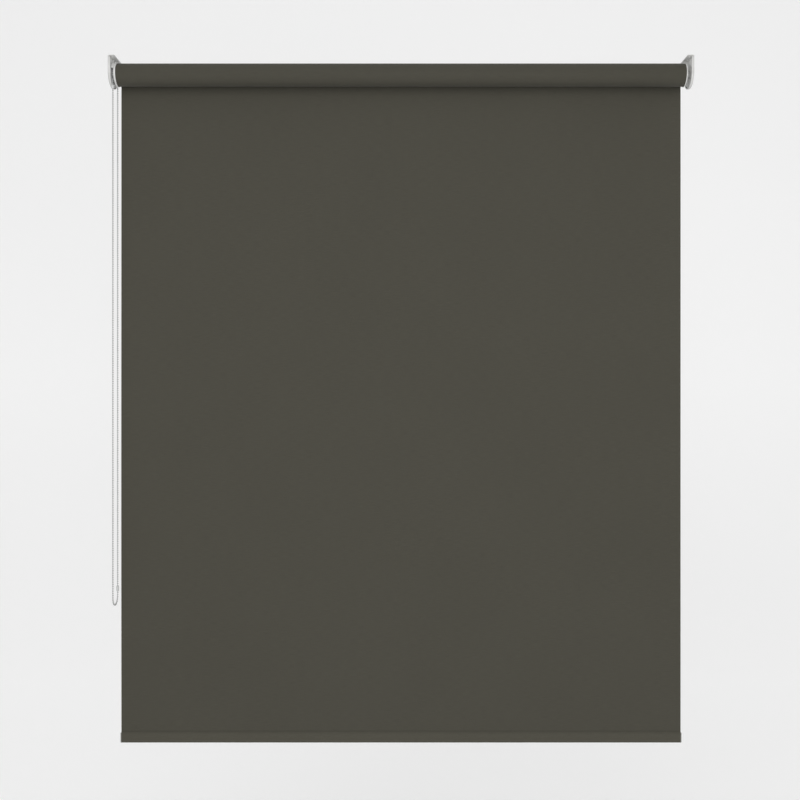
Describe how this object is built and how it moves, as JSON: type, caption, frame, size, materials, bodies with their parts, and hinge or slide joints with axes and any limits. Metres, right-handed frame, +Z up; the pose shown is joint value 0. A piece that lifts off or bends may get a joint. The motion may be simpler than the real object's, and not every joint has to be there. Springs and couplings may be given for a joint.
{
  "type": "roller blind",
  "caption": "Plain roller blind with a side bead-chain clutch, spring-pin idle end, tube wound with dark fabric, a weighted hem and two top-fixed end brackets.",
  "frame": {"origin": "centre of the four ceiling fixing holes, in the plane of the top faces of the two bracket flanges", "axes": "+X to the right as seen from the room, along the roller; +Y from the room to the window; +Z up"},
  "size_m": [1.1, 0.056, 1.305],
  "materials": {
    "bracket_steel": "white powder coat",
    "cover_plastic": "moulded white, glossy",
    "clutch_plastic": "moulded white, glossy",
    "grey_plastic": "moulded pale grey",
    "dark_plastic": "moulded dark grey",
    "pin_plastic": "moulded light grey",
    "plated_steel": "zinc plated",
    "spring_steel": "drawn wire",
    "tube_aluminium": "mill finish extrusion",
    "bar_aluminium": "mill finish extrusion",
    "blind_fabric": "plain coated weave, warm dark grey",
    "cap_plastic": "moulded white",
    "chain_plastic": "moulded beads on a cord",
    "clip_plastic": "milky clear"
  },
  "bodies": {
    "fixed_frame": {"control_bracket": "bracket_steel", "control_bracket_cover": "cover_plastic", "idle_bracket": "bracket_steel", "idle_bracket_cover": "cover_plastic", "idle_bracket_bush": "grey_plastic", "clutch_housing": "clutch_plastic", "chain_guard": "clutch_plastic", "core_washer": "plated_steel", "core_screw": "plated_steel", "fabric_drop": "blind_fabric", "chain_loop": "chain_plastic", "chain_wrap": "chain_plastic"},
    "roller": {"roller_tube": "tube_aluminium", "fabric_spline": "grey_plastic", "fabric_roll": "blind_fabric", "chain_sprocket": "dark_plastic", "drive_hub": "grey_plastic", "wrap_spring_1": "spring_steel", "wrap_spring_2": "spring_steel", "wrap_spring_3": "spring_steel", "idle_plug": "clutch_plastic", "spring_cap": "dark_plastic"},
    "hem_bar": {"bottom_bar": "bar_aluminium", "fabric_hem": "blind_fabric", "bar_end_cap_left": "cap_plastic", "bar_end_cap_right": "cap_plastic"},
    "stop_clip": {"chain_stop": "clip_plastic"},
    "joiner_clip": {"chain_joiner": "clip_plastic"},
    "pin": {"idle_pin": "pin_plastic", "pin_spring": "spring_steel"}
  },
  "joints": [
    {"name": "roller_spin", "type": "hinge", "parent": "fixed_frame", "child": "roller", "pos_m": [0, 0, -0.03], "axis": [1, 0, 0], "range_deg": [0, 3345], "deforming": ["chain_wrap"]},
    {"name": "bar_lift", "type": "slide", "parent": "fixed_frame", "child": "hem_bar", "axis": [0, 0, 1], "range_m": [0, 1.204], "deforming": ["fabric_drop"]},
    {"name": "chain_stop_travel", "type": "slide", "parent": "fixed_frame", "child": "stop_clip", "axis": [0, 0, -1], "range_m": [0, 0.949]},
    {"name": "chain_joiner_travel", "type": "slide", "parent": "fixed_frame", "child": "joiner_clip", "axis": [0, 0, 1], "range_m": [0, 0.949]},
    {"name": "idle_pin_slide", "type": "slide", "parent": "fixed_frame", "child": "pin", "axis": [-1, 0, 0], "range_m": [0, 0.0044], "stiffness_N_per_m": 700, "springref_m": -0.004, "deforming": ["pin_spring"]}
  ],
  "couplings": [
    {"joint": "bar_lift", "follows": "roller_spin", "m_per_rad": 0.0206},
    {"joint": "chain_stop_travel", "follows": "roller_spin", "m_per_rad": 0.016234},
    {"joint": "chain_joiner_travel", "follows": "roller_spin", "m_per_rad": 0.016234}
  ]
}
